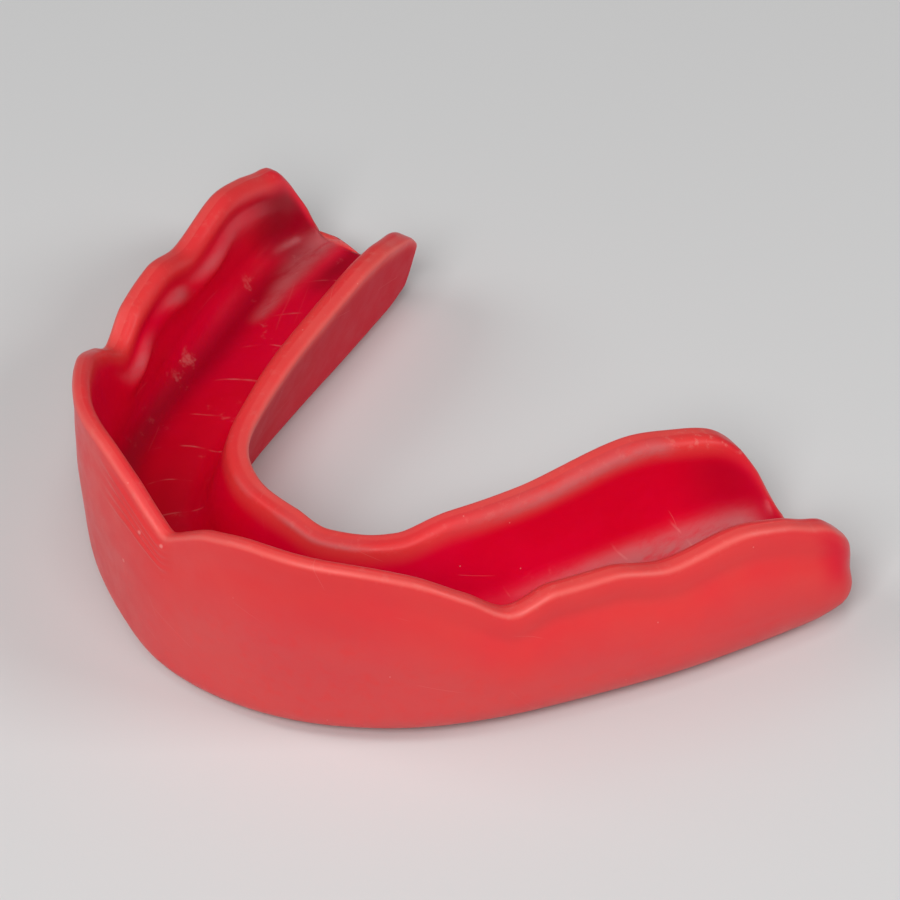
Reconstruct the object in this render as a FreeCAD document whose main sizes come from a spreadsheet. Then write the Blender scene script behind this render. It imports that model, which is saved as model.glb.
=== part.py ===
import FreeCAD, Part
import math
import os

import Sketcher
from FreeCAD import Vector

# A one-piece moulded mouthguard for the upper teeth.
#
# Frame: +Z up, with the tooth channel open upwards.  -Y is the lip side, +Y
# the throat side, and the two arms lie at +X and -X.  The origin is at the
# bottom centre of the whole guard, on its flat biting face.
#
# The body is one loft through U-shaped sections.  Each section stands on a
# plane square to the dental arch.  In a section, u points out to the lip or
# cheek, v points up, and u = 0 is the reference line of the arch.

# Dimensions in millimetres and degrees, kept in the spreadsheet.
DIMENSIONS = {
    # Reference line of the arch: three tangent arcs on each side.
    "front_radius": 20.0,
    "front_turn": 60.0,
    "canine_radius": 40.0,
    "canine_turn": 12.5,
    "molar_radius": 250.0,
    # From the reference line to the two edges of the biting face.
    "outer_offset_front": 1.7,
    "outer_offset_back": 6.1,
    "inner_offset_front": 7.7,
    "inner_offset_back": 7.9,
    # The outer wall is one arc.  Its rim stands this much outside its foot.
    "outer_flare_front": 0.2,
    "outer_flare_back": -0.8,
    "outer_wall_radius_front": 300.0,
    "outer_wall_radius_back": 12.0,
    # Lean of the inner wall from upright, away from the tooth channel.
    "inner_lean_front": 23.0,
    "inner_lean_back": 18.0,
    # Slope of the two channel sides, so that the walls thicken to the floor.
    "outer_channel_slope": 2.0,
    "inner_channel_draft": 3.0,
    "outer_rim_radius": 0.8,
    "inner_rim_radius": 0.8,
    # Rounding between each wall and the biting face.
    "outer_base_radius_front": 1.3,
    "outer_base_radius_back": 3.4,
    "inner_base_radius": 2.0,
    # The loft is made this much too deep and then cut off flat.
    "base_allowance": 0.1,
    "floor_thickness": 2.9,
    "channel_radius": 1.8,
    # The end section of each arm is narrower by this much on each side.
    "outer_end_inset": 1.4,
    "inner_end_inset": 0.4,
}

# Sections of one side: distance along the arch from the midline, then the
# heights of the outer and inner rims above the biting face.
STATIONS = [
    (0.0, 14.1, 9.5),    # notch for the frenum of the lip
    (2.0, 15.2, 9.3),
    (4.5, 16.3, 9.0),
    (8.0, 16.6, 8.9),    # crest of the lip flange
    (13.0, 16.1, 8.9),
    (18.0, 14.7, 9.1),
    (21.5, 12.9, 9.4),
    (24.5, 10.9, 9.6),   # notch for the frenum of the cheek
    (27.5, 11.7, 9.9),
    (31.5, 11.7, 10.2),  # premolar crest
    (36.0, 10.9, 10.5),
    (40.5, 11.5, 10.6),  # molar crest
    (45.0, 11.3, 10.4),
    (48.5, 9.7, 8.7),
    (51.0, 6.4, 5.6),    # end of the arm
]
STATION_COLUMNS = ("distance", "outer_height", "inner_height")
ARM_LENGTH = STATIONS[-1][0]
INSET_START = STATIONS[-2][0]

# Half the side of the square that cuts the biting face flat.
TRIM_REACH = 60.0

SHEET = "<<Dimensions>>."
DEGREES_PER_RADIAN = 57.29578

# The edges of a section, in the order in which they are added to its sketch.
BASE, OUTER_CORNER, OUTER_WALL, OUTER_RIM, OUTER_CHANNEL, OUTER_ROOT = range(6)
FLOOR, INNER_ROOT, INNER_CHANNEL, INNER_RIM, INNER_WALL, INNER_CORNER = range(6, 12)

# A sketch's own origin and X axis, and the points of an edge.
X_AXIS = -1
START, END, CENTRE = 1, 2, 3

# Each pair of edges meets smoothly at these ends.
SMOOTH_JOINTS = [
    (BASE, END, OUTER_CORNER, START),
    (OUTER_CORNER, END, OUTER_WALL, START),
    (OUTER_WALL, END, OUTER_RIM, START),
    (OUTER_RIM, END, OUTER_CHANNEL, END),
    (OUTER_CHANNEL, START, OUTER_ROOT, END),
    (OUTER_ROOT, START, FLOOR, END),
    (FLOOR, START, INNER_ROOT, END),
    (INNER_ROOT, START, INNER_CHANNEL, START),
    (INNER_CHANNEL, END, INNER_RIM, START),
    (INNER_RIM, END, INNER_WALL, END),
    (INNER_WALL, START, INNER_CORNER, START),
    (INNER_CORNER, END, BASE, START),
]


def fill_sheet(document):
    """The spreadsheet that holds every dimension under its own name."""
    sheet = document.addObject("Spreadsheet::Sheet", "Dimensions")
    cells = dict(DIMENSIONS)
    for number, station in enumerate(STATIONS):
        for column, value in zip(STATION_COLUMNS, station):
            cells[f"{column}_{number:02d}"] = value
    for row, (name, value) in enumerate(cells.items(), start=1):
        sheet.set(f"A{row}", name)
        sheet.set(f"B{row}", str(value))
        sheet.setAlias(f"B{row}", name)
    document.recompute()


def back_share(distance):
    """How far a station has come from the front values to the back ones, 0 to 1."""
    share = distance / ARM_LENGTH
    return share * share * (3 - 2 * share)


def inset_share(distance):
    """How much of the end inset applies at a station, as a quarter circle."""
    share = max(0.0, distance - INSET_START) / (ARM_LENGTH - INSET_START)
    return 1 - math.sqrt(1 - share * share)


def blended(name, distance):
    """Value of a dimension that changes from the front to the back."""
    front = DIMENSIONS[name + "_front"]
    back = DIMENSIONS[name + "_back"]
    return front + (back - front) * back_share(distance)


def blended_text(name, distance):
    """The same value as an expression of the spreadsheet."""
    front = SHEET + name + "_front"
    back = SHEET + name + "_back"
    return f"({front} + ({back} - {front}) * {back_share(distance):.4f})"


def face_curve(distance):
    """Radius of the outer face.  It is the curvature that changes evenly, not the radius."""
    front = DIMENSIONS["outer_wall_radius_front"]
    back = DIMENSIONS["outer_wall_radius_back"]
    return 1 / (1 / front + (1 / back - 1 / front) * back_share(distance))


def face_curve_text(distance):
    front = SHEET + "outer_wall_radius_front"
    back = SHEET + "outer_wall_radius_back"
    return f"1 / (1 / {front} + (1 / {back} - 1 / {front}) * {back_share(distance):.4f})"


def arcs_reached(distance):
    """Names of the arcs of the reference line from the midline to a station."""
    reached = []
    for name in ("front", "canine"):
        reached.append(name)
        distance -= DIMENSIONS[name + "_radius"] * math.radians(DIMENSIONS[name + "_turn"])
        if distance <= 0:
            return reached
    return reached + ["molar"]


def plane_text(number):
    """X, Y and turn in degrees of a section's plane, as expressions of the spreadsheet."""
    x_text, y_text, turn = "0", "0", "0"
    left = f"{SHEET}distance_{number:02d}"
    arcs = arcs_reached(STATIONS[number][0])
    for name in arcs:
        radius = f"{SHEET}{name}_radius"
        if name == arcs[-1]:
            next_turn = f"({turn} + {left} / {radius} * {DEGREES_PER_RADIAN})"
        else:
            next_turn = f"({turn} + {SHEET}{name}_turn)"
            left = f"({left} - {radius} * {SHEET}{name}_turn / {DEGREES_PER_RADIAN})"
        x_text += f" + {radius} * (sin({next_turn}) - sin({turn}))"
        y_text += f" + {radius} * (cos({turn}) - cos({next_turn}))"
        turn = next_turn
    return x_text, y_text, turn


def channel_side(rim, rim_radius, slope):
    """Root arc centre and straight side of the channel next to a rim, u outwards."""
    facing = Vector(-math.cos(slope), math.sin(slope))
    channel_radius = DIMENSIONS["channel_radius"]
    root_v = DIMENSIONS["floor_thickness"] + channel_radius
    reach = rim.dot(facing) + rim_radius + channel_radius
    root = Vector((root_v * math.sin(slope) - reach) / math.cos(slope), root_v)
    return root, (root - facing * channel_radius, rim + facing * rim_radius)


def outer_wall_shape(distance, height):
    """Arcs of the outer wall: its foot, its curved face, its rim and the root behind it."""
    inset = DIMENSIONS["outer_end_inset"] * inset_share(distance)
    base_offset = blended("outer_offset", distance) - inset
    foot_radius = blended("outer_base_radius", distance)
    rim_radius = DIMENSIONS["outer_rim_radius"]
    foot = Vector(base_offset - foot_radius, foot_radius - DIMENSIONS["base_allowance"])
    rim = Vector(base_offset + blended("outer_flare", distance) - rim_radius, height - rim_radius)

    # The face touches both circles from outside them, so its centre is this far from each.
    face_radius = face_curve(distance)
    to_foot = face_radius - foot_radius
    to_rim = face_radius - rim_radius
    step = rim - foot
    along = (to_foot ** 2 - to_rim ** 2 + step.Length ** 2) / (2 * step.Length)
    aside = math.sqrt(to_foot ** 2 - along ** 2)
    direction = step / step.Length
    face = foot + direction * along + Vector(-direction.y, direction.x) * aside
    slope = math.radians(DIMENSIONS["outer_channel_slope"])
    root, side = channel_side(rim, rim_radius, slope)
    return {
        "foot": foot,
        "face": face,
        "rim": rim,
        "root": root,
        "side": side,
        "slope": slope,
        "foot_angle": bearing(foot - face),
        "rim_angle": bearing(rim - face),
    }


def inner_wall_shape(distance, height):
    """Arcs and straight lines of the inner wall, with u away from the channel."""
    inset = DIMENSIONS["inner_end_inset"] * inset_share(distance)
    foot_radius = DIMENSIONS["inner_base_radius"]
    rim_radius = DIMENSIONS["inner_rim_radius"]
    lean = math.radians(blended("inner_lean", distance))
    slope = lean + math.radians(DIMENSIONS["inner_channel_draft"])
    outward = Vector(math.cos(lean), -math.sin(lean))
    foot_u = blended("inner_offset", distance) - inset - foot_radius
    foot = Vector(foot_u, foot_radius - DIMENSIONS["base_allowance"])
    rim_v = height - rim_radius
    reach = foot.dot(outward) + foot_radius - rim_radius
    rim = Vector((reach + rim_v * math.sin(lean)) / math.cos(lean), rim_v)
    root, side = channel_side(rim, rim_radius, slope)
    return {
        "foot": foot,
        "rim": rim,
        "root": root,
        "side": side,
        "slope": slope,
        "lean": lean,
        "wall": (foot + outward * foot_radius, rim + outward * rim_radius),
    }


def bearing(direction):
    return math.atan2(direction.y, direction.x)


def mirrored(point):
    return Vector(-point.x, point.y)


def line(points):
    return Part.LineSegment(points[0], points[1])


def arc(centre, radius, first, last):
    return Part.ArcOfCircle(Part.Circle(centre, Vector(0, 0, 1), radius), first, last)


def section_edges(number):
    """The twelve edges of a section, in the order of their names above."""
    distance, outer_height, inner_height = STATIONS[number]
    outer = outer_wall_shape(distance, outer_height)
    inner = inner_wall_shape(distance, inner_height)
    outer_foot_radius = blended("outer_base_radius", distance)
    inner_foot_radius = DIMENSIONS["inner_base_radius"]
    outer_rim_radius = DIMENSIONS["outer_rim_radius"]
    inner_rim_radius = DIMENSIONS["inner_rim_radius"]
    channel_radius = DIMENSIONS["channel_radius"]
    inner_foot = mirrored(inner["foot"])
    inner_root = mirrored(inner["root"])
    base_v = -DIMENSIONS["base_allowance"]
    floor_v = DIMENSIONS["floor_thickness"]
    half, down, left_down = math.pi, -math.pi / 2, math.pi * 1.5
    return [
        line((Vector(inner_foot.x, base_v), Vector(outer["foot"].x, base_v))),
        arc(outer["foot"], outer_foot_radius, down, outer["foot_angle"]),
        arc(outer["face"], face_curve(distance), outer["foot_angle"], outer["rim_angle"]),
        arc(outer["rim"], outer_rim_radius, outer["rim_angle"], half - outer["slope"]),
        line(outer["side"]),
        arc(outer["root"], channel_radius, down, -outer["slope"]),
        line((Vector(inner_root.x, floor_v), Vector(outer["root"].x, floor_v))),
        arc(inner_root, channel_radius, half + inner["slope"], left_down),
        line([mirrored(point) for point in inner["side"]]),
        arc(mirrored(inner["rim"]), inner_rim_radius, inner["slope"], half + inner["lean"]),
        line([mirrored(point) for point in inner["wall"]]),
        arc(inner_foot, inner_foot_radius, half + inner["lean"], left_down),
    ]


def section_dimensions(number):
    """Each driven constraint of a section: name, kind, what it measures, expression."""
    distance = STATIONS[number][0]
    outer_inset = f"{SHEET}outer_end_inset * {inset_share(distance):.4f}"
    inner_inset = f"{SHEET}inner_end_inset * {inset_share(distance):.4f}"
    outer_foot_radius = blended_text("outer_base_radius", distance)
    inner_foot_radius = SHEET + "inner_base_radius"
    inner_reach = f"{blended_text('inner_offset', distance)} - {inner_inset} - {inner_foot_radius}"
    outer_reach = f"{blended_text('outer_offset', distance)} - {outer_inset} - {outer_foot_radius}"
    rim_shift = f"{blended_text('outer_flare', distance)} - {SHEET}outer_rim_radius + {outer_foot_radius}"
    inner_lean = blended_text("inner_lean", distance)
    return [
        ("inner_reach", "DistanceX", (INNER_CORNER, CENTRE, X_AXIS, START), inner_reach),
        ("base_width", "DistanceX", (INNER_CORNER, CENTRE, OUTER_CORNER, CENTRE),
         f"{inner_reach} + {outer_reach}"),
        ("rim_shift", "DistanceX", (OUTER_CORNER, CENTRE, OUTER_RIM, CENTRE), rim_shift),
        ("base_depth", "DistanceY", (BASE, START, X_AXIS, START), SHEET + "base_allowance"),
        ("floor_height", "DistanceY", (X_AXIS, START, FLOOR, START), SHEET + "floor_thickness"),
        ("outer_rim_height", "DistanceY", (X_AXIS, START, OUTER_RIM, CENTRE),
         f"{SHEET}outer_height_{number:02d} - {SHEET}outer_rim_radius"),
        ("inner_rim_height", "DistanceY", (X_AXIS, START, INNER_RIM, CENTRE),
         f"{SHEET}inner_height_{number:02d} - {SHEET}inner_rim_radius"),
        ("outer_corner_radius", "Radius", (OUTER_CORNER,), outer_foot_radius),
        ("inner_corner_radius", "Radius", (INNER_CORNER,), inner_foot_radius),
        ("outer_face_radius", "Radius", (OUTER_WALL,), face_curve_text(distance)),
        ("outer_rim_size", "Radius", (OUTER_RIM,), SHEET + "outer_rim_radius"),
        ("inner_rim_size", "Radius", (INNER_RIM,), SHEET + "inner_rim_radius"),
        ("outer_root_size", "Radius", (OUTER_ROOT,), SHEET + "channel_radius"),
        ("inner_root_size", "Radius", (INNER_ROOT,), SHEET + "channel_radius"),
        ("inner_wall_angle", "Angle", (INNER_WALL,), f"(90 + {inner_lean}) * 1 deg"),
        ("outer_channel_angle", "Angle", (OUTER_CHANNEL,), f"(90 - {SHEET}outer_channel_slope) * 1 deg"),
        ("inner_channel_angle", "Angle", (INNER_CHANNEL,),
         f"(90 + {inner_lean} + {SHEET}inner_channel_draft) * 1 deg"),
    ]


def measure(edges, kind, places):
    """Present value of a constraint, in the unit in which a sketch holds it."""
    if kind == "Radius":
        return edges[places[0]].Radius
    if kind == "Angle":
        step = edges[places[0]].EndPoint - edges[places[0]].StartPoint
        return math.atan2(step.y, step.x)
    first, second = [point_of(edges, places[i], places[i + 1]) for i in (0, 2)]
    return second.x - first.x if kind == "DistanceX" else second.y - first.y


def point_of(edges, edge, point):
    if edge == X_AXIS:
        return Vector(0, 0)
    if point == CENTRE:
        return edges[edge].Center
    return edges[edge].StartPoint if point == START else edges[edge].EndPoint


def draw_section(sketch, number):
    """Edges, smooth joints and driven sizes of one section."""
    edges = section_edges(number)
    sketch.addGeometry(edges, False)
    for joint in SMOOTH_JOINTS:
        sketch.addConstraint(Sketcher.Constraint("Tangent", *joint))
    sketch.addConstraint(Sketcher.Constraint("Horizontal", BASE))
    sketch.addConstraint(Sketcher.Constraint("Horizontal", FLOOR))
    for name, kind, places, text in section_dimensions(number):
        value = measure(edges, kind, places)
        index = sketch.addConstraint(Sketcher.Constraint(kind, *places, value))
        sketch.renameConstraint(index, name)
        sketch.setExpression(f"Constraints.{name}", text)


def add_section(body, number, side):
    """A section sketch on its own plane, on the right (side 1) or left (side -1)."""
    label = f"section_{'right' if side > 0 else 'left'}_{number:02d}"
    sketch = body.newObject("Sketcher::SketchObject", label)
    sketch.AttachmentSupport = [(origin_plane(body, "XZ_Plane"), "")]
    sketch.MapMode = "FlatFace"
    sketch.AttachmentOffset = FreeCAD.Placement(Vector(), FreeCAD.Rotation(Vector(0, 1, 0), -90))
    x_text, y_text, turn = plane_text(number)
    sketch.setExpression(".AttachmentOffset.Base.x", f"{side} * ({x_text})")
    sketch.setExpression(".AttachmentOffset.Base.z", f"-({y_text})")
    sketch.setExpression(".AttachmentOffset.Rotation.Angle", f"({side} * ({turn}) - 90) * 1 deg")
    draw_section(sketch, number)
    return sketch


def origin_plane(body, role):
    return [item for item in body.Origin.OriginFeatures if item.Role == role][0]


def cut_flat(document, body):
    """Cut off everything below the biting face."""
    sketch = body.newObject("Sketcher::SketchObject", "trim_outline")
    sketch.AttachmentSupport = [(origin_plane(body, "XY_Plane"), "")]
    sketch.MapMode = "FlatFace"
    corners = [Vector(-TRIM_REACH, -TRIM_REACH), Vector(TRIM_REACH, -TRIM_REACH)]
    corners += [Vector(TRIM_REACH, TRIM_REACH), Vector(-TRIM_REACH, TRIM_REACH)]
    for number in range(4):
        sketch.addGeometry(line((corners[number], corners[(number + 1) % 4])), False)
    for number in range(4):
        sketch.addConstraint(Sketcher.Constraint("Coincident", number, END, (number + 1) % 4, START))
    document.recompute()
    volume_before = body.Shape.Volume
    trim = body.newObject("PartDesign::Pocket", "biting_face")
    trim.Profile = sketch
    trim.Type = "Length"
    trim.setExpression("Length", f"{SHEET}base_allowance * 10")
    document.recompute()
    if body.Shape.Volume >= volume_before:
        raise RuntimeError("the biting face was not cut")


def add_mouthguard(document):
    """The whole guard: one loft from the end of the left arm to that of the right."""
    body = document.addObject("PartDesign::Body", "mouthguard")
    body.Label = "mouthguard"
    last = len(STATIONS) - 1
    sections = [add_section(body, number, -1) for number in range(last, 0, -1)]
    sections += [add_section(body, number, 1) for number in range(last + 1)]
    document.recompute()
    loft = body.newObject("PartDesign::AdditiveLoft", "moulding")
    loft.Profile = sections[0]
    loft.Sections = sections[1:]
    loft.Ruled = False
    loft.Closed = False
    document.recompute()
    cut_flat(document, body)
    return body


def centre_on_origin(document, body):
    """Move the body along Y so that the origin is the middle of its box."""
    box = body.Shape.optimalBoundingBox(False, False)
    body.Placement.Base = Vector(0, -box.Center.y, 0)
    document.recompute()


def check(document, bodies):
    for item in document.Objects:
        if "Invalid" in item.State or "Error" in item.State:
            raise RuntimeError(f"{item.Label} failed: {item.State}")
    for body in bodies:
        if body.Shape.isNull() or not body.Shape.isValid():
            raise RuntimeError(f"{body.Label} has no valid shape")


def main():
    document = FreeCAD.newDocument("mouthguard")
    fill_sheet(document)
    guard = add_mouthguard(document)
    centre_on_origin(document, guard)
    check(document, [guard])
    os.makedirs("parts", exist_ok=True)
    guard.Shape.exportStep(f"parts/{guard.Label}.step")
    box = guard.Shape.optimalBoundingBox(False, False)
    print(f"{guard.Label}: {box.XLength:.2f} x {box.YLength:.2f} x {box.ZLength:.2f} mm")
    print(f"volume {guard.Shape.Volume:.0f} mm3, {len(guard.Shape.Faces)} faces")


main()
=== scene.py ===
import math

import bmesh
import bpy
import numpy as np
from mathutils import Matrix, Vector


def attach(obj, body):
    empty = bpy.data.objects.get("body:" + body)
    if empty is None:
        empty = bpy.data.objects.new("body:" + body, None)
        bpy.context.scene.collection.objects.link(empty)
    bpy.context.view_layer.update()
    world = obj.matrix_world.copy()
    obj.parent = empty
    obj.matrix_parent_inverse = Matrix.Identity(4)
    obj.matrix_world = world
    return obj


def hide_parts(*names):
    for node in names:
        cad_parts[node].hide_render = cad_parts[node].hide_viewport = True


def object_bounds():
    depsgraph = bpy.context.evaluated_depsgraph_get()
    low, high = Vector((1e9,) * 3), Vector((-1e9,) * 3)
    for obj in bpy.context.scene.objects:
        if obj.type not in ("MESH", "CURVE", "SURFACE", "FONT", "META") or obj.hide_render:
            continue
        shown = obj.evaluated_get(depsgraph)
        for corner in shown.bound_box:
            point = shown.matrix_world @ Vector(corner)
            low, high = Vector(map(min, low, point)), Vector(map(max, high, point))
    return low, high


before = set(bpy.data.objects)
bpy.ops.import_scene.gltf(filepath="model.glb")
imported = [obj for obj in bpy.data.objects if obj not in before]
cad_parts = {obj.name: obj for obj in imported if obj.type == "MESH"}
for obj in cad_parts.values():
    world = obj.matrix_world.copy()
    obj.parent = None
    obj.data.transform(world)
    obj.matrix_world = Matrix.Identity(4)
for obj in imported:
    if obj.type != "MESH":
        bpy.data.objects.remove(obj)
cad_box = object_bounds()

# A moulded one-piece mouthguard, drawn as one closed skin in millimetres and
# then scaled to metres.  The skin is a row of U-shaped sections that stand
# across the dental arch.  In a section, u points out to the lip or cheek and
# v points up from the biting face.  "Left" is the arm at -X, and a distance
# along the arch is negative there.  "Lingual" is the tongue side.
MM = 0.001

# The reference line of the arch: the distance where each curve starts, and its radius.
CURVES = [(0.0, 19.85), (21.3, 36.0), (28.7, 203.0)]
CURVE_BLEND = 2.5
ARM = 51.5
ARCH_STEP = 0.05
LINE_BEHIND_FRONT = 1.72
# How round a size is as it crosses the midline: first for a table with its own
# values on each side, then for a table of both sides.
NOTCH_ROUND = 0.4
MIDDLE_ROUND = 3.0

# Heights of the two rims: distance along the arm, left height, right height.
OUTER_RIM = [
    (0.0, 13.2, 13.2),
    (1.5, 14.3, 14.3),
    (4.0, 15.8, 15.8),
    (8.0, 16.7, 16.7),
    (13.0, 16.3, 16.3),
    (18.0, 14.9, 15.0),
    (21.5, 12.6, 12.9),
    (24.3, 10.6, 11.0),
    (27.3, 12.0, 12.1),
    (31.2, 12.4, 12.1),
    (35.7, 11.1, 11.1),
    (41.0, 11.9, 11.8),
    (44.6, 11.0, 11.0),
    (46.6, 10.2, 10.0),
    (48.2, 9.7, 9.2),
    (49.2, 8.4, 8.2),
    (50.0, 6.6, 7.2),
    (50.8, 4.7, 5.9),
    (ARM, 3.0, 4.5),
]
INNER_RIM = [
    (0.0, 9.4, 9.4),
    (2.0, 9.4, 9.4),
    (8.0, 9.3, 8.9),
    (18.0, 9.2, 9.0),
    (24.3, 9.4, 9.8),
    (31.2, 9.9, 9.95),
    (40.2, 10.1, 10.7),
    (44.6, 9.4, 10.0),
    (47.0, 8.5, 9.3),
    (48.6, 7.8, 8.0),
    (49.6, 7.1, 6.1),
    (50.6, 5.9, 3.9),
    (ARM, 4.6, 3.1),
]
# From the reference line out to the foot of the outer wall, and in to the
# foot of the inner wall.
OUTER_FOOT = [
    (0.0, 1.9, 1.9),
    (1.0, 1.9, 1.9),
    (6.0, 1.7, 2.0),
    (12.6, 2.1, 2.3),
    (19.0, 3.05, 3.0),
    (25.3, 3.6, 3.8),
    (37.9, 5.6, 5.75),
    (46.0, 6.2, 6.2),
    (ARM, 6.2, 5.8),
]
INNER_FOOT = [
    (0.0, 6.5, 6.5),
    (2.0, 6.5, 6.5),
    (12.6, 6.7, 6.7),
    (25.3, 7.25, 7.2),
    (37.9, 7.05, 7.4),
    (ARM, 6.1, 6.4),
]
# How far each rim stands outside its foot, for each millimetre of height.
OUTER_FLARE = [
    (0.0, -0.07),
    (12.6, 0.008),
    (18.5, -0.014),
    (25.3, -0.012),
    (37.9, -0.075),
    (ARM, -0.078),
]
INNER_FLARE = [(0.0, 0.445), (25.3, 0.322), (ARM, 0.23)]
# How far the outer wall swells at half its height.
FACE_BULGE = [(0.0, 0.05), (ARM, 0.9)]

# The rounds, widths and thicknesses of a section.  A root is where a side of
# the channel meets its floor, and a shoulder is where it meets the rim.
OUTER_FOOT_RADIUS = [(0.0, 1.2), (30.0, 3.6), (45.0, 3.8), (ARM, 6.0)]
INNER_FOOT_RADIUS = 2.3
OUTER_RIM_WIDTH = [(0.0, 1.2), (20.0, 1.35), (28.0, 1.9), (ARM, 1.9)]
OUTER_RIM_ROUND = [(0.0, 0.45), (28.0, 0.5), (46.0, 0.7), (ARM, 0.88)]
OUTER_SHOULDER_ROUND = [(0.0, 0.55), (20.0, 0.6), (28.0, 0.88), (ARM, 0.88)]
OUTER_ROOT_THICKNESS = [(0.0, 2.0), (46.0, 2.0), (ARM, 3.8)]
INNER_RIM_WIDTH = [(0.0, 1.7), (22.0, 1.75), (32.0, 2.0), (ARM, 2.0)]
INNER_RIM_ROUND = 0.35
INNER_SHOULDER_ROUND = [(0.0, 0.5), (18.0, 0.7), (32.0, 0.95), (ARM, 0.9)]
INNER_ROOT_THICKNESS = [(0.0, 2.4), (46.0, 2.4), (ARM, 4.6)]
OUTER_ROOT_RADIUS = 2.0
INNER_ROOT_RADIUS = [(0.0, 2.0), (40.0, 2.6), (ARM, 3.0)]
FACE_RADIUS = 12.0
LINGUAL_RADIUS = 8.0
# The height of the channel's floor, and how far above it the rims end at least,
# before END_DROP.
FLOOR = 2.9
LEAST_WALL = 0.05
# A round reaches at least this far from its corner, and two rounds that share
# an edge take at most this share of it.
LEAST_REACH = 0.2
MOST_REACH = 0.96

# The end of each arm.  The rims drop and the walls thin out over END_ROUND,
# the cheek wall turns in over CHEEK_ROUND, and the foot lifts off the ground
# over BASE_ROUND: by BASE_LIFT at the cheek and by a smaller share at the tongue.
END_ROUND = 0.8
END_DROP = 1.5
CHEEK_ROUND = 2.6
BASE_ROUND = 4.6
BASE_LIFT = 3.8
BASE_LIFT_TOP = 6.0
TONGUE_LIFT_SHARE = 0.35
# The end face is drawn back at the channel and, more and more, towards the foot.
END_HOLLOW = 0.45
END_HOLLOW_START = 45.0
BASE_BACK = 0.9
BASE_BACK_TOP = 6.0
BASE_BACK_START = 47.0

# How finely the skin is divided: along the arch, round each arm's end, then the
# rounds and the straight runs of a section's lines.  Points closer than WELD are
# one point.
STATION_STEP = 0.3
END_ROUND_STEPS = 7
ARC_STEPS = [7, 9, 12, 10, 7, 7]
EDGE_STEPS = [1, 34, 12, 18, 9, 14, 1]
WELD = 0.0001

# A slow wobble is the sum of these waves: strength, frequency, phase.
WOBBLE_WAVES = [(1.0, 1.0, 1.7), (0.6, 2.3, 3.1), (0.35, 4.1, 5.3)]
WOBBLE = 0.05
ROOT_WOBBLE = 0.06

# The hollow under the outer rim, which is deeper at the cheeks than at the lip.
LIP_HOLLOW = 0.06
CHEEK_HOLLOW = 0.2

# Flow lines that fan out from the lip notch under the left rim.
FLOW_LINES = 4
FLOW_DEPTH = 1.0
FLOW_SPACING = 0.62
FLOW_SLOPE = 0.05
FLOW_FAN = 0.06
FLOW_HEIGHT = 0.2
FLOW_WIDTH = 0.27

# The inside of the cheek walls: a broad swell, a groove under the rim and soft
# folds.  Each fold has its distance along the arm, half length, depth under the
# rim and height.  They are weaker on the right.
CHEEK_SWELL = 0.15
CHEEK_GROOVE = 0.13
FOLDS = [(26.3, 2.0, 3.4, 0.5), (32.6, 1.8, 3.3, 0.45), (38.4, 2.6, 3.2, 0.55)]
FOLD_SLANT = 0.16
FOLD_REACH = 1.15
RIGHT_FOLD_SHARE = 0.6

# How strong each painted sheen or highlight is, in the channel and low on the lip side; the floor
# streaks are partly dull rubbed places too.
LEFT_SHEEN_AND_RUB = 0.7
FRONT_HIGHLIGHT = 0.65
SHOULDER_HIGHLIGHT = 0.75
PATCH_SHEEN_AND_RUB = 0.3
FOLD_HIGHLIGHT = 0.6
FACE_LIGHT = 0.22

# What the material needs to know about each point, in the order of the columns of the section
# facts below. Several are masks of painted sheen, highlight or shade.
FACTS = ["chalk_and_sheen", "sheen_and_rub", "painted_shade", "tip", "edge", "floor", "lingual", "place", "across"]


def curve(knots, places):
    """A smooth line through (place, value) knots that never overshoots them."""
    x = np.array([knot[0] for knot in knots], float)
    y = np.array([knot[1] for knot in knots], float)
    places = np.clip(places, x[0], x[-1])
    width = np.diff(x)
    slope = np.diff(y) / width
    tangent = np.zeros(len(x))
    for i in range(1, len(x) - 1):
        if slope[i - 1] * slope[i] > 0:
            ahead = 2 * width[i] + width[i - 1]
            behind = width[i] + 2 * width[i - 1]
            tangent[i] = (ahead + behind) / (ahead / slope[i - 1] + behind / slope[i])
    tangent[0] = slope[0]
    tangent[-1] = slope[-1]
    before = np.clip(np.searchsorted(x, places, side="right") - 1, 0, len(x) - 2)
    after = before + 1
    t = (places - x[before]) / width[before]
    stay = 2 * t**3 - 3 * t**2 + 1
    go = 3 * t**2 - 2 * t**3
    leave = (t**3 - 2 * t**2 + t) * width[before]
    arrive = (t**3 - t**2) * width[before]
    return stay * y[before] + go * y[after] + leave * tangent[before] + arrive * tangent[after]


def sided(knots, place):
    """As curve() at one place, for a table with its own values on each side of the midline."""
    column = 1 if place < 0 else 2
    far = math.hypot(place, NOTCH_ROUND) - NOTCH_ROUND
    return float(curve([(knot[0], knot[column]) for knot in knots], np.array(far)))


def shared(knots, place):
    """As curve() at one place, for a table of both sides, with no crease at the midline."""
    far = abs(place)
    if far < MIDDLE_ROUND:
        far = (far * far + MIDDLE_ROUND * MIDDLE_ROUND) / (2 * MIDDLE_ROUND)
    return float(curve(knots, np.array(far)))


def hump(x, centre, reach):
    """A bell that is one at its centre."""
    return np.exp(-(((x - centre) / reach) ** 2))


def ramp(x, low, high):
    """Zero up to low, then smoothly up to one at high."""
    t = np.clip((x - low) / (high - low), 0, 1)
    return t * t * (3 - 2 * t)


def between(x, rise, fall):
    """A ramp() up over one span and down again over another."""
    return ramp(x, *rise) * (1 - ramp(x, *fall))


def wobble(place, seed, wave):
    """A slow, smooth and repeatable wobble between about -1 and 1."""
    total = 0.0
    for strength, frequency, phase in WOBBLE_WAVES:
        total = total + strength * np.sin(place / wave * frequency + seed * phase)
    return total / sum(strength for strength, _, _ in WOBBLE_WAVES)


# ---------------------------------------------------------------- the arch

def summed(values, places):
    """The running integral of values over places."""
    steps = (values[1:] + values[:-1]) / 2 * np.diff(places)
    return np.concatenate([[0.0], np.cumsum(steps)])


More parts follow.
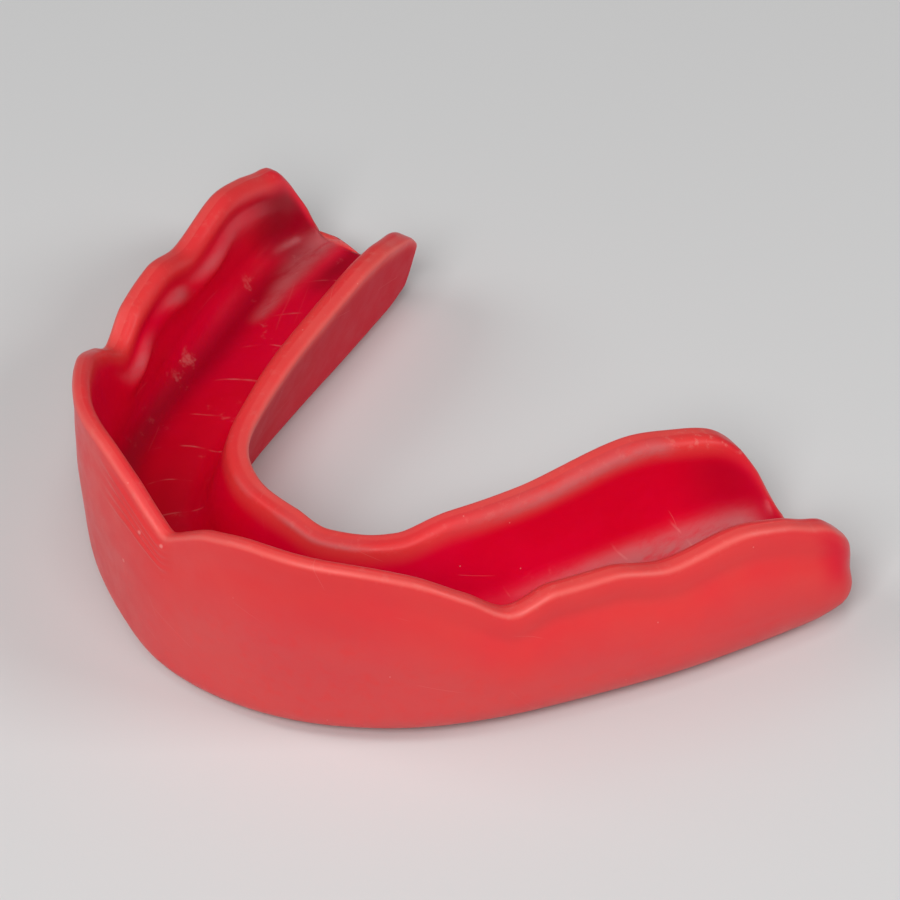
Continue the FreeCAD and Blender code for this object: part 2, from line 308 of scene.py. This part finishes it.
def arch_line():
    """Distances along the reference line of one arm, its points and its direction."""
    far = np.arange(0.0, ARM + 2 * ARCH_STEP, ARCH_STEP)
    bend = np.full(len(far), 1 / CURVES[0][1])
    for (_, before), (start, after) in zip(CURVES, CURVES[1:]):
        bend += (1 / after - 1 / before) * ramp(far, start - CURVE_BLEND, start + CURVE_BLEND)
    turn = summed(bend, far)
    return far, summed(np.cos(turn), far), summed(np.sin(turn), far), turn


ARCH_LINE = arch_line()


def side_of(place):
    return -1.0 if place < 0 else 1.0


def arch(place):
    """Point and outward direction of the reference line at a distance from the midline."""
    far, x, y, turn = ARCH_LINE
    side = side_of(place)
    angle = np.interp(abs(place), far, turn)
    point = np.array([side * np.interp(abs(place), far, x), np.interp(abs(place), far, y)])
    return point, np.array([side * math.sin(angle), -math.cos(angle)])


def roundness(place, reach):
    """One along the arm, falling to zero at its end on a quarter circle of that reach."""
    near_end = max(0.0, abs(place) - (ARM - reach)) / reach
    return math.sqrt(max(0.0, 1 - near_end * near_end))


def stations():
    """The places of the sections, which come closer together round the ends."""
    plain = ARM - END_ROUND
    count = round(plain / STATION_STEP)
    angle = np.linspace(0, math.pi / 2, END_ROUND_STEPS + 1)[1:]
    half = np.concatenate([np.linspace(0, plain, count + 1), plain + END_ROUND * np.sin(angle)])
    return np.concatenate([-half[::-1], half[1:]])


# ----------------------------------------------------------- one section

def half_angle(before, corner, after):
    """Half the angle between the two edges that meet at a corner."""
    cosine = np.dot(before - corner, after - corner)
    cosine /= np.linalg.norm(before - corner) * np.linalg.norm(after - corner)
    return math.acos(float(np.clip(cosine, -1, 1))) / 2


def wanted_reach(before, corner, after, radius):
    """How far from a corner its round of that radius would start."""
    return max(radius / math.tan(half_angle(before, corner, after)), LEAST_REACH)


def corner_arc(before, corner, after, reach_before, reach_after, steps):
    """Points of the round that replaces a corner."""
    to_before = (before - corner) / np.linalg.norm(before - corner)
    to_after = (after - corner) / np.linalg.norm(after - corner)
    weight = math.sin(half_angle(before, corner, after))
    first = corner + to_before * reach_before
    last = corner + to_after * reach_after
    t = np.linspace(0, 1, steps)[:, None]
    middle = 2 * t * (1 - t) * weight
    total = (1 - t) ** 2 * first + middle * corner + t**2 * last
    return total / ((1 - t) ** 2 + middle + t**2)


def chain(corners, radii):
    """An open line through rounded corners, always with the same number of points."""
    corners = [np.array(corner, float) for corner in corners]
    triples = list(zip(corners, corners[1:], corners[2:]))
    reach = [wanted_reach(*triple, radius) for triple, radius in zip(triples, radii)]
    reach = [0.0, *reach, 0.0]
    share = []
    for i in range(len(corners) - 1):
        room = MOST_REACH * np.linalg.norm(corners[i + 1] - corners[i])
        share.append(min(1.0, room / (reach[i] + reach[i + 1])))
    points = corners[0][None]
    for i, triple in enumerate(triples):
        before = reach[i + 1] * share[i]
        after = reach[i + 1] * share[i + 1]
        turn = corner_arc(*triple, before, after, ARC_STEPS[i])
        run = np.linspace(points[-1], turn[0], EDGE_STEPS[i] + 2)[1:-1]
        points = np.concatenate([points, run, turn])
    run = np.linspace(points[-1], corners[-1], EDGE_STEPS[-1] + 2)[1:]
    return np.concatenate([points, run])


def halfway(a, b):
    return ((a[0] + b[0]) / 2, (a[1] + b[1]) / 2)


class Section:
    """The sizes of one section, and its two lines from the outer rim to the inner rim."""

    def __init__(self, place):
        drop = END_DROP * (1 - roundness(place, END_ROUND))
        turned_in = CHEEK_ROUND * (1 - roundness(place, CHEEK_ROUND))
        self.place = place
        self.outer_height = max(sided(OUTER_RIM, place), FLOOR + LEAST_WALL) - drop
        self.inner_height = max(sided(INNER_RIM, place), FLOOR + LEAST_WALL) - drop
        self.outer_foot = sided(OUTER_FOOT, place) - turned_in
        self.inner_foot = sided(INNER_FOOT, place)
        self.outer_flare = shared(OUTER_FLARE, place)
        self.inner_flare = shared(INNER_FLARE, place)

    def outer(self, v):
        """Where the plain outer wall stands at a height."""
        return self.outer_foot + self.outer_flare * v

    def inner(self, v):
        """Where the plain inner wall stands at a height."""
        return -(self.inner_foot + self.inner_flare * v)

    def outer_rim(self, share):
        """A point on the outer rim, at a share of its width from the outside."""
        width = shared(OUTER_RIM_WIDTH, self.place)
        return (self.outer(self.outer_height) - width * share, self.outer_height)

    def inner_rim(self, share):
        """A point on the inner rim, at a share of its width from the outside."""
        width = shared(INNER_RIM_WIDTH, self.place)
        return (self.inner(self.inner_height) + width * share, self.inner_height)

    def skin(self):
        """The outside: down the outer wall, under the guard and up the inner wall."""
        face_v = self.outer_height / 2
        lingual_v = self.inner_height / 2
        corners = [
            self.outer_rim(0.5),
            self.outer_rim(0.0),
            (self.outer(face_v) + shared(FACE_BULGE, self.place), face_v),
            (self.outer_foot, 0),
            (-self.inner_foot, 0),
            (self.inner(lingual_v), lingual_v),
            self.inner_rim(0.0),
            self.inner_rim(0.5),
        ]
        radii = [
            shared(OUTER_RIM_ROUND, self.place),
            FACE_RADIUS,
            shared(OUTER_FOOT_RADIUS, self.place),
            INNER_FOOT_RADIUS,
            LINGUAL_RADIUS,
            INNER_RIM_ROUND,
        ]
        return chain(corners, radii)

    def channel(self):
        """The inside: down one side of the channel, over its floor and up the other side."""
        root_v = FLOOR + OUTER_ROOT_RADIUS
        outer_root = (self.outer(root_v) - shared(OUTER_ROOT_THICKNESS, self.place), FLOOR)
        inner_root = (self.inner(root_v) + shared(INNER_ROOT_THICKNESS, self.place), FLOOR)
        corners = [
            self.outer_rim(0.5),
            self.outer_rim(1.0),
            halfway(self.outer_rim(1.0), outer_root),
            outer_root,
            inner_root,
            halfway(self.inner_rim(1.0), inner_root),
            self.inner_rim(1.0),
            self.inner_rim(0.5),
        ]
        radii = [
            shared(OUTER_SHOULDER_ROUND, self.place),
            FACE_RADIUS,
            OUTER_ROOT_RADIUS,
            shared(INNER_ROOT_RADIUS, self.place),
            LINGUAL_RADIUS,
            shared(INNER_SHOULDER_ROUND, self.place),
        ]
        return chain(corners, radii)


def normals(line):
    """Unit directions to the left of an open line."""
    along = np.gradient(line, axis=0)
    along /= np.linalg.norm(along, axis=1)[:, None]
    return np.stack([-along[:, 1], along[:, 0]], 1)


# ------------------------------------------------------- relief, wear and painted light

def skin_relief(section, line):
    """How far the outside skin stands proud of its plain section."""
    place = section.place
    u = line[:, 0]
    v = line[:, 1]
    depth = section.outer_height - v
    outer_side = ramp(u, -2.0, 0.0)
    cheek = ramp(abs(place), 20.0, 27.0)
    hollow = (LIP_HOLLOW + CHEEK_HOLLOW * cheek) * hump(depth, centre=2.5, reach=1.0)
    rim_wobble = WOBBLE * wobble(place, seed=1.0, wave=5.0) * hump(depth, centre=1.0, reach=1.0)
    wall_wobble = WOBBLE * wobble(place + 1.5 * v, seed=2.0, wave=6.0)
    wall_wobble = wall_wobble * ramp(v, 0.5, 3.0) * ramp(depth, 0.5, 3.0)
    relief = (rim_wobble - hollow) * outer_side + wall_wobble
    fade = between(-place, rise=(-1.0, 0.8), fall=(4.0, 8.0))
    for line_number in range(FLOW_LINES):
        slope = FLOW_SLOPE + FLOW_FAN * line_number
        line_depth = FLOW_DEPTH + FLOW_SPACING * line_number + slope * abs(place)
        flow = FLOW_HEIGHT * hump(depth, line_depth, FLOW_WIDTH)
        relief = relief + flow * fade * outer_side
    return relief


def channel_relief(section, line):
    """How far the channel stands proud of its plain section, towards the teeth."""
    place = section.place
    far = abs(place)
    u = line[:, 0]
    v = line[:, 1]
    depth = section.outer_height - v
    middle = (u.max() + u.min()) / 2
    outer_side = ramp(u, middle - 1.0, middle + 1.5)
    cheek = between(far, rise=(22.0, 26.0), fall=(45.0, 49.0))
    folds = CHEEK_SWELL * hump(depth, centre=3.6, reach=1.1) * cheek
    for centre, reach, below, rise in FOLDS:
        fold_depth = below + FOLD_SLANT * (far - centre)
        folds = folds + rise * hump(far, centre, reach) * hump(depth, fold_depth, FOLD_REACH)
    folds = folds - CHEEK_GROOVE * hump(depth, centre=2.1, reach=0.6) * cheek
    strength = 1.0 if place < 0 else RIGHT_FOLD_SHARE
    wall_wobble = WOBBLE * wobble(place + 0.8 * v, seed=4.0, wave=4.0) * ramp(depth, 1.0, 3.0)
    root_wobble = ROOT_WOBBLE * wobble(place, seed=6.0, wave=3.0)
    root_wobble = root_wobble * hump(v, FLOOR, 1.2) * (1 - ramp(far, 44.0, 47.0))
    return (folds * strength + wall_wobble) * outer_side + root_wobble


def sheen_and_rub_zone(section, line):
    """Where the channel carries painted sheen and highlights, partly on dull rubbed streaks, from
    0 to 1.
    """
    place = section.place
    far = abs(place)
    u = line[:, 0]
    v = line[:, 1]
    depth = section.outer_height - v
    inner_depth = section.inner_height - v
    near_inner = ramp(-u, 5.0, 6.5)
    near_outer = ramp(u, 0.0, 1.0)

    # Painted sheen on the channel floor of each arm, partly dull rubbed streaks.
    right = between(place, rise=(26.0, 36.0), fall=(47.5, 49.5))
    right = right * hump(v, FLOOR, 0.8) * ramp(-u, 2.2, 3.4)

    to_end = ramp(-place, 40.0, 48.0)
    left = ramp(-place, 38.5, 41.0) * hump(v, FLOOR, 1.5)
    left = left * hump(u, centre=0.1 + 0.9 * to_end, reach=0.5 + 0.6 * to_end)

    # Painted highlights along the front inner rim's channel edge and on the right inner shoulder.
    front = 1 - ramp(abs(place - 7.5), 4.0, 9.0)
    front = front + 0.5 * (1 - ramp(abs(place + 6.5), 1.0, 4.0))
    front = front * hump(inner_depth, centre=0.2, reach=0.18) * near_inner

    shoulder = between(place, rise=(20.0, 34.0), fall=(42.5, 44.5))
    shoulder = shoulder * hump(inner_depth, centre=0.45, reach=0.45) * near_inner

    patch = between(-place, rise=(38.0, 41.0), fall=(43.0, 46.0))
    patch = patch * hump(depth, centre=3.0, reach=1.0) * near_outer

    zones = [right, LEFT_SHEEN_AND_RUB * left, FRONT_HIGHLIGHT * front, SHOULDER_HIGHLIGHT * shoulder, PATCH_SHEEN_AND_RUB * patch]
    # Painted highlights on the crests of the cheek folds.
    for centre, reach, below, _ in FOLDS:
        crest = hump(depth, below - 0.5 + FOLD_SLANT * (far - centre), 0.6)
        zones.append(FOLD_HIGHLIGHT * hump(far, centre - 0.4, reach) * crest * near_outer)
    return np.maximum.reduce(zones)


def shading_and_wear_facts(section, loop, in_channel):
    """What the material needs to know about each point of one section, one column a fact."""
    place = section.place
    far = abs(place)
    u = loop[:, 0]
    v = loop[:, 1]
    on_skin = 1 - in_channel
    outer_part = ramp(u, -3.0, -1.0)
    depth = np.where(u > -2.5, section.outer_height, section.inner_height) - v

    # The lip side and the rims are painted lighter and pinker, partly as a painted sheen of the
    # light and partly as a chalky surface; the arm ends, which face away from the light, keep more
    # of the clear red as painted shade.
    rim = 1 - ramp(depth, 0.4, 1.8)
    shaded_end = 0.95 * ramp(far, 46.5, 49.0) * ramp(v, 3.0, 6.0)
    chalk_and_sheen = np.maximum(on_skin * outer_part * (1 - shaded_end), rim * (1 - 0.6 * shaded_end))

    # The lower lip side is painted lighter and greyer, as light that falls on it from below.
    face_light = ramp(depth, 3.0, 9.0) * (1 - 0.7 * ramp(-place, 5.0, 14.0))
    sheen_and_rub = in_channel * sheen_and_rub_zone(section, loop) + FACE_LIGHT * on_skin * outer_part * face_light

    # Painted shade: the channel's root and the walls near the arm ends are darkened, where shade
    # falls.
    root_centre = 0.6 + 1.2 * ramp(far, 30.0, 46.0)
    root = hump(u, root_centre, 1.6) * hump(v, FLOOR, 2.6)
    end_wall = ramp(far, 42.5, 48.0) * ramp(abs(u), 0.0, 2.0) * ramp(depth, 0.6, 2.5)
    painted_shade = in_channel * np.maximum(root, end_wall * (0.5 + 0.65 * outer_part))

    inner_end = ramp(far, 42.0, 47.0) * (1 - outer_part)
    tip = (1 - ramp(depth, 0.1, 0.9)) * (0.25 + 0.75 * inner_end)
    # A painted highlight line along the rims' outer edge.
    edge = on_skin * hump(depth, centre=0.16, reach=0.16)
    floor = in_channel * (1 - ramp(v, 3.4, 4.6))
    # The tongue side is painted a darker red as painted shade, and made rougher.
    lingual = on_skin * (1 - outer_part) * ramp(depth, 0.3, 1.2)
    columns = [chalk_and_sheen, sheen_and_rub, painted_shade, tip, edge, floor, lingual, np.full(len(loop), place), u]
    return np.stack(columns, 1)


# ------------------------------------------------------------- the mesh

def closed_loop(section):
    """The points of one section round its skin and back through its channel."""
    place = section.place
    skin = section.skin()
    channel = section.channel()
    skin = skin + normals(skin) * skin_relief(section, skin)[:, None]
    channel = channel - normals(channel) * channel_relief(section, channel)[:, None]
    share = TONGUE_LIFT_SHARE + (1 - TONGUE_LIFT_SHARE) * ramp(skin[:, 0], -4.0, 2.0)
    lift = BASE_LIFT * (1 - roundness(place, BASE_ROUND)) * share
    skin[:, 1] += lift * np.clip(1 - skin[:, 1] / BASE_LIFT_TOP, 0, 1) ** 2
    swell = roundness(place, END_ROUND)
    spine = (skin + channel) / 2
    skin = spine + (skin - spine) * swell
    channel = spine + (channel - spine) * swell
    in_channel = np.concatenate([np.zeros(len(skin)), np.ones(len(channel) - 2)])
    return np.concatenate([skin, channel[-2:0:-1]]), in_channel


def stood_on_arch(section, loop):
    """A section's points in the guard's own frame."""
    place = section.place
    u = loop[:, :1]
    v = loop[:, 1:]
    point, outward = arch(place)
    backward = side_of(place) * np.array([[-outward[1], outward[0]]])
    back = END_HOLLOW * ramp(abs(place), END_HOLLOW_START, ARM) * hump(u, centre=1.5, reach=3.2)
    low = np.clip(1 - v / BASE_BACK_TOP, 0, 1)
    back = back + BASE_BACK * ramp(abs(place), BASE_BACK_START, ARM) * low
    flat = point[None] + outward[None] * u - back * backward
    return np.concatenate([flat, v], 1)


def rings_and_facts():
    """The points of every section in metres, and the facts that lie on them."""
    rings = []
    facts = []
    for place in stations():
        section = Section(place)
        loop, in_channel = closed_loop(section)
        rings.append(stood_on_arch(section, loop))
        facts.append(shading_and_wear_facts(section, loop, in_channel))
    rings = np.array(rings)
    rings[..., 1] += cad_box[0].y / MM + LINE_BEHIND_FRONT
    return rings * MM, np.array(facts)


def mesh_from_rings(name, rings, facts):
    """One closed and smooth mesh, with each fact as an attribute of its points."""
    count, around = rings.shape[:2]
    mesh = bpy.data.meshes.new(name)
    index = np.arange(count * around).reshape(count, around)
    turned = np.roll(index, -1, axis=1)
    faces = np.stack([index[:-1], index[1:], turned[1:], turned[:-1]], -1).reshape(-1, 4)
    mesh.from_pydata(rings.reshape(-1, 3).tolist(), [], faces.tolist())
    for column, word in enumerate(FACTS):
        layer = mesh.attributes.new(word, "FLOAT", "POINT")
        layer.data.foreach_set("value", facts[..., column].ravel().astype(np.float32))
    work = bmesh.new()
    work.from_mesh(mesh)
    bmesh.ops.remove_doubles(work, verts=work.verts, dist=WELD * MM)
    bmesh.ops.recalc_face_normals(work, faces=work.faces)
    for face in work.faces:
        face.smooth = True
    work.to_mesh(mesh)
    work.free()
    return mesh


guard_mesh = mesh_from_rings("mouthguard_skin", *rings_and_facts())
guard = bpy.data.objects.new("mouthguard_skin", guard_mesh)
bpy.context.scene.collection.objects.link(guard)


# ------------------------------------------------------------- materials

def colour(r, g, b):
    return (r, g, b, 1.0)


CLEAR_RED = colour(0.72, 0.0, 0.022)
CLOUDED_RED = colour(0.77, 0.0, 0.034)
# Painted shade for the channel's root and the arm ends.
PAINTED_SHADE_RED = colour(0.3, 0.0, 0.012)
# Painted shade for the tongue side.
LINGUAL_SHADE_RED = colour(0.58, 0.0, 0.018)
# Lighter pink for the lip side and rims, partly a painted sheen.
CHALK_SHEEN_RED = colour(0.77, 0.05, 0.048)
# Painted highlight along the rims' outer edge.
RIM_HIGHLIGHT_PINK = colour(0.85, 0.2, 0.17)
# Grey for painted sheen and highlights, partly dull rubbed streaks.
SHEEN_AND_RUB_GREY = colour(0.5, 0.165, 0.17)
FROST_PINK = colour(0.8, 0.27, 0.23)
MARK_PINK = colour(0.85, 0.4, 0.36)
SHEEN_TINT = colour(1.0, 0.6, 0.6)

# Thin arcs that the teeth leave across the channel floor, in millimetres.
SCALLOP_SPACING = 4.6
SCALLOP_BOW = 0.14
SCALLOP_CENTRE = 4.5
SCALLOP_DRIFT = 2.0


class Nodes:
    """Short calls for building one material's node tree."""

    def __init__(self, name):
        self.material = bpy.data.materials.new(name)
        self.material.use_nodes = True
        self.tree = self.material.node_tree
        self.tree.nodes.clear()

    def add(self, kind, **values):
        node = self.tree.nodes.new(kind)
        for word, value in values.items():
            setattr(node, word, value)
        return node

    def link(self, source, target):
        self.tree.links.new(source, target)

    def put(self, socket, value):
        """Links a socket's value, or sets a plain one."""
        if isinstance(value, bpy.types.NodeSocket):
            self.link(value, socket)
        else:
            socket.default_value = value

    def attribute(self, name):
        return self.add("ShaderNodeAttribute", attribute_name=name).outputs["Fac"]

    def maths(self, operation, a, b=0.0):
        node = self.add("ShaderNodeMath", operation=operation)
        self.put(node.inputs[0], a)
        self.put(node.inputs[1], b)
        return node.outputs[0]

    def plus(self, a, b):
        return self.maths("ADD", a, b)

    def times(self, a, b):
        return self.maths("MULTIPLY", a, b)

    def larger(self, a, b):
        return self.maths("MAXIMUM", a, b)

    def off_middle(self, value):
        """How far the fraction of a value is from a half."""
        return self.maths("ABSOLUTE", self.maths("SUBTRACT", self.maths("FRACT", value), 0.5))

    def vector(self, operation, a, b):
        """The node that combines a linked vector with a plain one."""
        node = self.add("ShaderNodeVectorMath", operation=operation)
        self.link(a, node.inputs[0])
        node.inputs[1].default_value = b
        return node

    def stretch(self, vector, scale):
        node = self.add("ShaderNodeMapping")
        self.link(vector, node.inputs["Vector"])
        node.inputs["Scale"].default_value = scale
        return node.outputs[0]

    def noise(self, vector, scale, detail, rough=0.5):
        node = self.add("ShaderNodeTexNoise")
        self.link(vector, node.inputs["Vector"])
        node.inputs["Scale"].default_value = scale
        node.inputs["Detail"].default_value = detail
        node.inputs["Roughness"].default_value = rough
        return node.outputs["Fac"]

    def span(self, value, low, high, to_low=0.0, to_high=1.0):
        """A value moved smoothly from one range to another."""
        node = self.add("ShaderNodeMapRange", interpolation_type="SMOOTHSTEP")
        self.put(node.inputs["Value"], value)
        node.inputs["From Min"].default_value = low
        node.inputs["From Max"].default_value = high
        node.inputs["To Min"].default_value = to_low
        node.inputs["To Max"].default_value = to_high
        return node.outputs["Result"]

    def mix(self, factor, a, b):
        node = self.add("ShaderNodeMix", data_type="RGBA")
        self.put(node.inputs["Factor"], factor)
        self.put(node.inputs["A"], a)
        self.put(node.inputs["B"], b)
        return node.outputs["Result"]

    def bump(self, height, distance, strength, under=None):
        node = self.add("ShaderNodeBump")
        node.inputs["Strength"].default_value = strength
        node.inputs["Distance"].default_value = distance
        self.put(node.inputs["Height"], height)
        if under is not None:
            self.link(under, node.inputs["Normal"])
        return node.outputs["Normal"]

    def finish(self, shader):
        out = self.add("ShaderNodeOutputMaterial")
        self.link(shader.outputs[0], out.inputs[0])
        return self.material


def scallops(n):
    """Thin tooth arcs across the inner half of the channel floor, as a mask."""
    across = n.attribute("across")
    bow = n.maths("POWER", n.plus(across, SCALLOP_CENTRE), 2.0)
    along = n.plus(n.maths("ABSOLUTE", n.attribute("place")), n.times(bow, SCALLOP_BOW))
    drift = n.times(n.noise(n.spot, 0.15, 1.0), SCALLOP_DRIFT)
    line_number = n.maths("DIVIDE", n.plus(along, drift), SCALLOP_SPACING)
    line = n.span(n.off_middle(line_number), 0.03, 0.004)
    inner_half = n.times(n.span(across, -0.5, -2.5), n.attribute("floor"))
    broken = n.span(n.noise(n.spot, 0.5, 2.0), 0.42, 0.62)
    return n.times(n.times(line, inner_half), broken)


def scratches(n, direction, spacing, seed):
    """Rare straight hair scratches that lie across a direction, as a mask."""
    height = n.vector("DOT_PRODUCT", n.spot, direction).outputs["Value"]
    wave = n.times(n.noise(n.spot, 0.08, 0.0), 0.4)
    along = n.plus(n.maths("DIVIDE", height, spacing), n.plus(wave, seed))
    line = n.span(n.off_middle(along), 0.04 / spacing, 0.0)
    draw = n.add("ShaderNodeTexWhiteNoise", noise_dimensions="1D")
    n.link(n.maths("FLOOR", along), draw.inputs["W"])
    chosen = n.maths("GREATER_THAN", draw.outputs["Value"], 0.65)
    elsewhere = n.vector("ADD", n.spot, (seed, seed * 2.0, seed * 3.0)).outputs[0]
    part = n.span(n.noise(elsewhere, 0.22, 1.0), 0.56, 0.64)
    return n.times(n.times(line, chosen), part)


def specks(n, scale, size, share):
    """Rare round dust specks and tiny bubbles, as a mask."""
    cells = n.add("ShaderNodeTexVoronoi")
    n.link(n.spot, cells.inputs["Vector"])
    cells.inputs["Scale"].default_value = scale
    split = n.add("ShaderNodeSeparateColor")
    n.link(cells.outputs["Color"], split.inputs[0])
    chosen = n.maths("GREATER_THAN", split.outputs[0], 1.0 - share)
    return n.times(n.span(cells.outputs["Distance"], size, size * 0.4), chosen)


def surface_marks(n):
    """Scallops, scratches, specks and small whitish rubs, as one mask."""
    first = scratches(n, direction=(0.3, 0.2, 0.93), spacing=2.6, seed=3.0)
    second = scratches(n, direction=(0.75, 0.5, 0.43), spacing=3.4, seed=11.0)
    fewer_on_floor = n.span(n.attribute("floor"), 0.0, 1.0, 0.3, 0.1)
    lines = n.larger(n.times(scallops(n), 0.6), n.times(n.larger(first, second), fewer_on_floor))
    coarse = specks(n, scale=0.4, size=0.09, share=0.1)
    fine = specks(n, scale=1.0, size=0.08, share=0.07)
    smudge = n.span(n.noise(n.spot, 0.33, 4.0, 0.75), 0.6, 0.76)
    rub = n.times(n.times(smudge, n.attribute("floor")), 0.5)
    return n.larger(n.larger(lines, n.larger(coarse, fine)), rub)


def red_moulding():
    """Satin red EVA: a cloudy body, a lip side and rims lighter partly as painted sheen, painted
    shade in the channel root, at the arm ends and on the tongue side, painted highlights and sheen
    partly on rubbed patches, frosted tips and marks.
    """
    n = Nodes("red_moulding")
    n.spot = n.stretch(n.add("ShaderNodeTexCoord").outputs["Object"], (1 / MM, 1 / MM, 1 / MM))
    grain = n.noise(n.spot, 1.6, 5.0, 0.65)
    streaks = n.noise(n.stretch(n.spot, (1.0, 0.3, 1.0)), 1.1, 5.0, 0.65)
    cloud = n.span(n.noise(n.spot, 0.09, 3.0), 0.35, 0.65)
    uneven = n.span(n.noise(n.spot, 0.14, 3.0, 0.6), 0.2, 0.8, 0.7, 1.0)
    chalk_and_sheen = n.times(n.attribute("chalk_and_sheen"), uneven)
    sheen_and_rub = n.times(n.attribute("sheen_and_rub"), n.span(streaks, 0.2, 0.55, 0.25, 1.0))
    frost = n.times(n.attribute("tip"), n.span(grain, 0.54, 0.68))
    marks = surface_marks(n)

    # Coats over the clear red: painted shade, painted sheen and painted highlights, then real
    # frost and marks.
    coats = [
        (n.attribute("painted_shade"), 0.85, PAINTED_SHADE_RED),
        (n.attribute("lingual"), 0.8, LINGUAL_SHADE_RED),
        (chalk_and_sheen, 1.0, CHALK_SHEEN_RED),
        (n.attribute("edge"), 0.5, RIM_HIGHLIGHT_PINK),
        (sheen_and_rub, 0.8, SHEEN_AND_RUB_GREY),
        (frost, 0.45, FROST_PINK),
        (marks, 0.45, MARK_PINK),
    ]
    tint = n.mix(cloud, CLEAR_RED, CLOUDED_RED)
    for mask, strength, shade in coats:
        tint = n.mix(n.times(mask, strength), tint, shade)

    dulling = [
        (n.larger(sheen_and_rub, frost), 0.16),
        (n.attribute("lingual"), 0.3),
        (n.attribute("chalk_and_sheen"), 0.06),
        (marks, 0.1),
    ]
    rough = n.span(n.noise(n.spot, 0.5, 4.0, 0.6), 0.3, 0.7, 0.28, 0.38)
    for mask, strength in dulling:
        rough = n.plus(rough, n.times(mask, strength))

    normal = n.bump(n.noise(n.spot, 0.35, 2.0, 0.4), distance=0.12 * MM, strength=0.4)
    normal = n.bump(grain, distance=0.02 * MM, strength=0.45, under=normal)
    normal = n.bump(marks, distance=0.02 * MM, strength=0.3, under=normal)

    shader = n.add("ShaderNodeBsdfPrincipled")
    n.link(tint, shader.inputs["Base Color"])
    n.link(rough, shader.inputs["Roughness"])
    n.link(normal, shader.inputs["Normal"])
    shader.inputs["IOR"].default_value = 1.4
    shader.inputs["Specular Tint"].default_value = SHEEN_TINT
    shader.inputs["Subsurface Weight"].default_value = 0.25
    shader.inputs["Subsurface Radius"].default_value = (1.0, 0.12, 0.1)
    shader.inputs["Subsurface Scale"].default_value = 1.5 * MM
    return n.finish(shader)


guard.data.materials.append(red_moulding())
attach(guard, "root")
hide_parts("mouthguard")


# --------------------------------------------------------- floor, light

# The floor lies just under the biting face, so that the two don't flicker.
FLOOR_GAP = 0.02 * MM
FLOOR_SIZE = 4.0
FLOOR_DARKER = colour(0.66, 0.66, 0.66)
FLOOR_LIGHTER = colour(0.68, 0.68, 0.68)

# Soft boxes: name, compass angle from the lips, angle above the floor, size in
# metres, watts.
LIGHTS = [
    ("key", 35.0, 44.0, 0.3, 2.25),
    ("fill", -48.0, 42.0, 0.35, 0.9),
    ("top", 75.0, 78.0, 0.16, 0.4),
    ("side", 122.0, 38.0, 0.22, 1.15),
]
LIGHT_DISTANCE = 0.6
WORLD_STRENGTH = 0.08


def pale_floor():
    n = Nodes("pale_floor")
    place = n.add("ShaderNodeTexCoord").outputs["Object"]
    tone = n.mix(n.noise(place, 3.0, 2.0), FLOOR_DARKER, FLOOR_LIGHTER)
    shader = n.add("ShaderNodeBsdfPrincipled")
    n.link(tone, shader.inputs["Base Color"])
    shader.inputs["Roughness"].default_value = 0.7
    return n.finish(shader)


def add_floor():
    half = FLOOR_SIZE / 2
    corners = [(x * half, y * half, -FLOOR_GAP) for x, y in [(-1, -1), (1, -1), (1, 1), (-1, 1)]]
    mesh = bpy.data.meshes.new("floor")
    mesh.from_pydata(corners, [], [(0, 1, 2, 3)])
    mesh.materials.append(pale_floor())
    floor = bpy.data.objects.new("floor", mesh)
    bpy.context.scene.collection.objects.link(floor)


def away_from_object(azimuth, elevation):
    """The direction from the object at a compass angle from the lips and an angle up."""
    a = math.radians(azimuth)
    e = math.radians(elevation)
    return Vector((math.sin(a) * math.cos(e), -math.cos(a) * math.cos(e), math.sin(e)))


def add_light(name, azimuth, elevation, size, watts):
    """A square soft box that faces the object."""
    away = away_from_object(azimuth, elevation)
    data = bpy.data.lights.new(name, "AREA")
    data.shape = "SQUARE"
    data.size = size
    data.energy = watts
    lamp = bpy.data.objects.new(name, data)
    lamp.location = away * LIGHT_DISTANCE
    lamp.rotation_mode = "QUATERNION"
    lamp.rotation_quaternion = (-away).to_track_quat("-Z", "Y")
    bpy.context.scene.collection.objects.link(lamp)


def add_world():
    world = bpy.data.worlds.new("studio")
    world.use_nodes = True
    background = world.node_tree.nodes["Background"]
    background.inputs["Color"].default_value = colour(1.0, 1.0, 1.0)
    background.inputs["Strength"].default_value = WORLD_STRENGTH
    bpy.context.scene.world = world


add_floor()
for light in LIGHTS:
    add_light(*light)
add_world()


# --------------------------------------------------------------- camera

CAMERA_AZIMUTH = 49.013
CAMERA_ELEVATION = 40.532
CAMERA_ROLL = -3.555
CAMERA_DISTANCE = 0.40658
CAMERA_AIM = Vector((0.0, 0.00034, 0.008))
# How far the camera and its aim are moved right and up in the camera's own view.
CAMERA_SLIDE = (0.004932, 0.00023)
CAMERA_LENS = 221.9
CAMERA_SENSOR = 36.0
CAMERA_NEAREST = 0.01
CAMERA_FARTHEST = 20.0


def add_camera():
    back = away_from_object(CAMERA_AZIMUTH, CAMERA_ELEVATION)
    a = math.radians(CAMERA_AZIMUTH)
    roll = math.radians(CAMERA_ROLL)
    level = Vector((math.cos(a), math.sin(a), 0.0))
    rise = back.cross(level)
    right = level * math.cos(roll) + rise * math.sin(roll)
    up = rise * math.cos(roll) - level * math.sin(roll)
    spot = CAMERA_AIM + back * CAMERA_DISTANCE + right * CAMERA_SLIDE[0] + up * CAMERA_SLIDE[1]
    data = bpy.data.cameras.new("camera")
    data.lens = CAMERA_LENS
    data.sensor_width = CAMERA_SENSOR
    data.clip_start = CAMERA_NEAREST
    data.clip_end = CAMERA_FARTHEST
    camera = bpy.data.objects.new("camera", data)
    turn = Matrix((right, up, back)).transposed().to_4x4()
    camera.matrix_world = Matrix.Translation(spot) @ turn
    bpy.context.scene.collection.objects.link(camera)
    bpy.context.scene.camera = camera


add_camera()
# The plain view transform keeps the red as strong as it is.
bpy.context.scene.view_settings.view_transform = "Standard"
